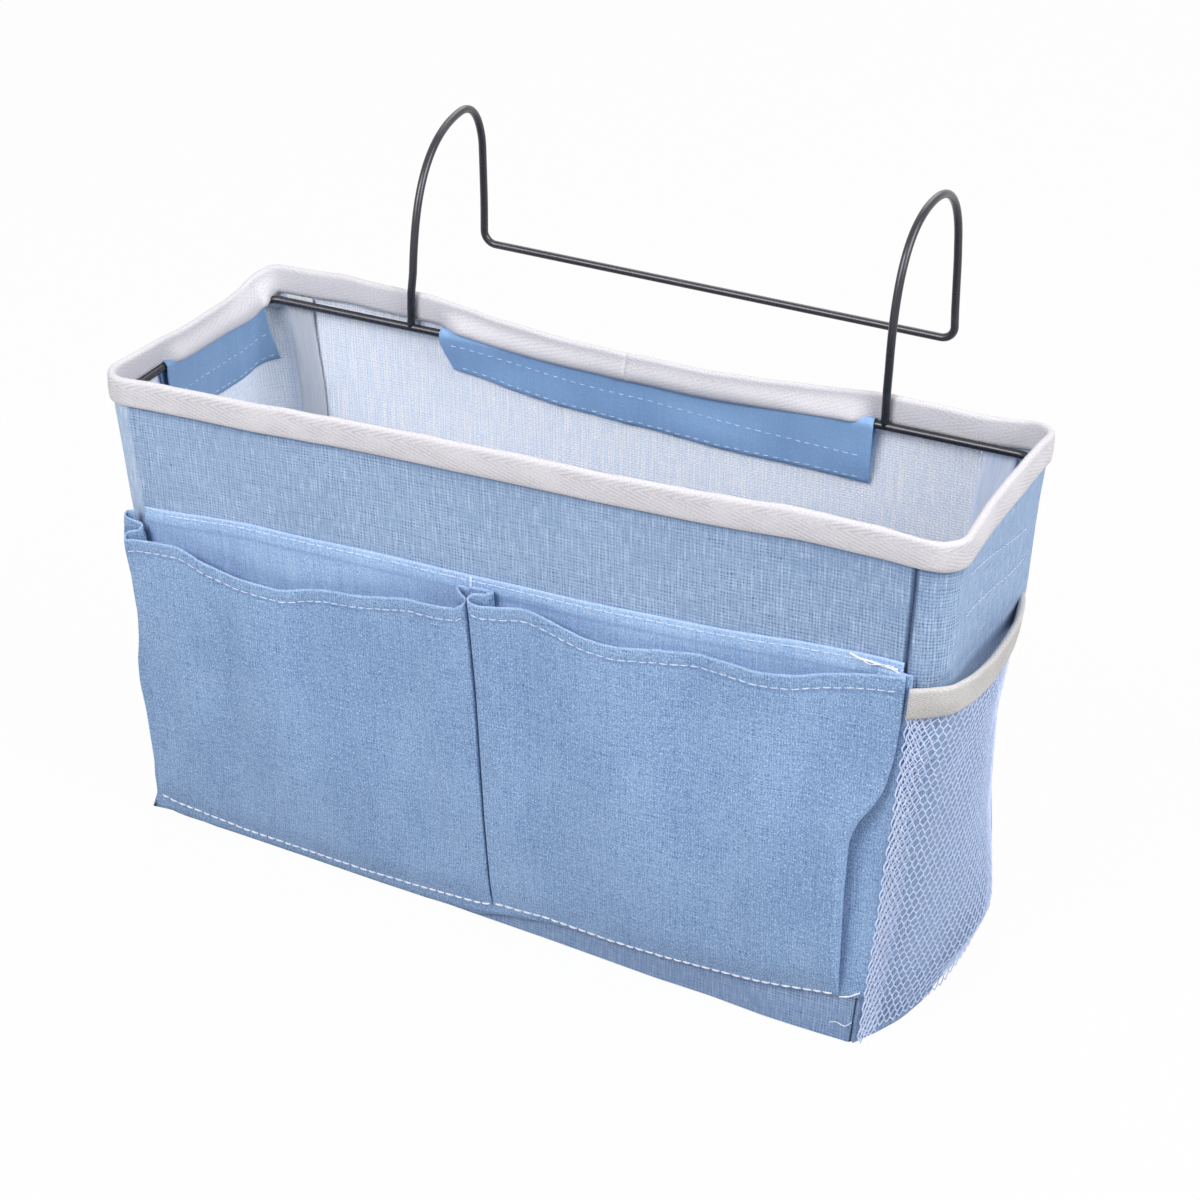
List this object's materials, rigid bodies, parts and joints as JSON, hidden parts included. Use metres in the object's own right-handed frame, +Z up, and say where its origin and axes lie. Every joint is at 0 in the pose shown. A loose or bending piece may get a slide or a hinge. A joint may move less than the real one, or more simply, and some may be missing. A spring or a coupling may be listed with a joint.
{
  "type": "bedside caddy",
  "caption": "Cloth storage box on a wire rim with pleated front pockets, net side pockets and a bent wire hanger that hooks over a bed rail.",
  "frame": {"origin": "underside of the base panel, below the middle of the wire ring in the rim", "axes": "+X along the long side, to the right seen from the front; +Y towards the bed, the side the hooks are on; +Z up"},
  "size_m": [0.3866, 0.2095, 0.2956],
  "materials": {
    "blue_cloth": "open linen-like weave, light blue",
    "pocket_cloth": "denser plain weave, light blue",
    "white_tape": "white herringbone tape",
    "grey_tape": "plain grey-blue tape",
    "net_cord": "pale lavender knitted net",
    "dark_wire": "satin dark grey coating"
  },
  "bodies": {
    "root": {"rim_wire_ring": "dark_wire", "hanger_wire": "dark_wire", "front_wall": "blue_cloth", "back_wall": "blue_cloth", "right_end_wall": "blue_cloth", "left_end_wall": "blue_cloth", "base_panel": "blue_cloth", "rim_binding": "white_tape", "back_wire_sleeve": "blue_cloth", "left_wire_sleeve": "blue_cloth", "right_wire_sleeve": "blue_cloth", "front_seam_tape_right": "grey_tape", "front_seam_tape_left": "grey_tape", "back_seam_tape_right": "grey_tape", "back_seam_tape_left": "grey_tape", "pocket_backing": "pocket_cloth", "front_pocket_left": "pocket_cloth", "front_pocket_right": "pocket_cloth", "right_mesh_net": "net_cord", "right_net_binding": "white_tape", "left_mesh_net": "net_cord", "left_net_binding": "white_tape"}
  },
  "joints": []
}
